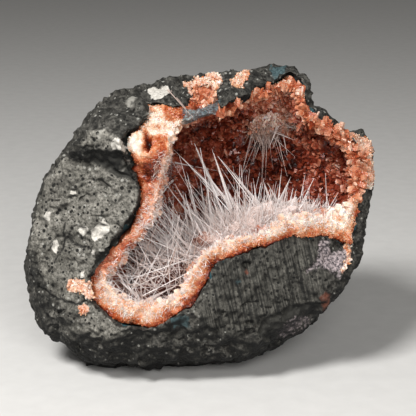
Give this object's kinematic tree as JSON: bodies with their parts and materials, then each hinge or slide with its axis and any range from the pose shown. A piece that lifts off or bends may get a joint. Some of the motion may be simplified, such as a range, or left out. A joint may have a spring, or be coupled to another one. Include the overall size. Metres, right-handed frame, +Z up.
{
  "type": "scolecite geode",
  "caption": "Broken basalt nodule that rests on a flat base, its hollow lined with blocky peach crystals and holding a spray of white needles.",
  "frame": {"origin": "centre of the bottom of the bounding box, on the surface that the nodule rests on", "axes": "+Z up, -Y out of the opening towards the viewer, +X to the viewer's right, along the nodule's longest side"},
  "size_m": [0.1596, 0.1134, 0.1303],
  "materials": {
    "basalt": "dull dark grey vesicular rock with pits, pale flecks and a few white and blue-green filled bubbles",
    "heulandite_crust": "glassy blocky crystals, red-orange at the rock and pale peach at their tips",
    "scolecite_needles": "silky white translucent needles"
  },
  "bodies": {
    "root": {"basalt_shell": "basalt", "crystal_crust": "heulandite_crust", "scolecite_spray": "scolecite_needles", "ceiling_tuft": "scolecite_needles"}
  },
  "joints": []
}
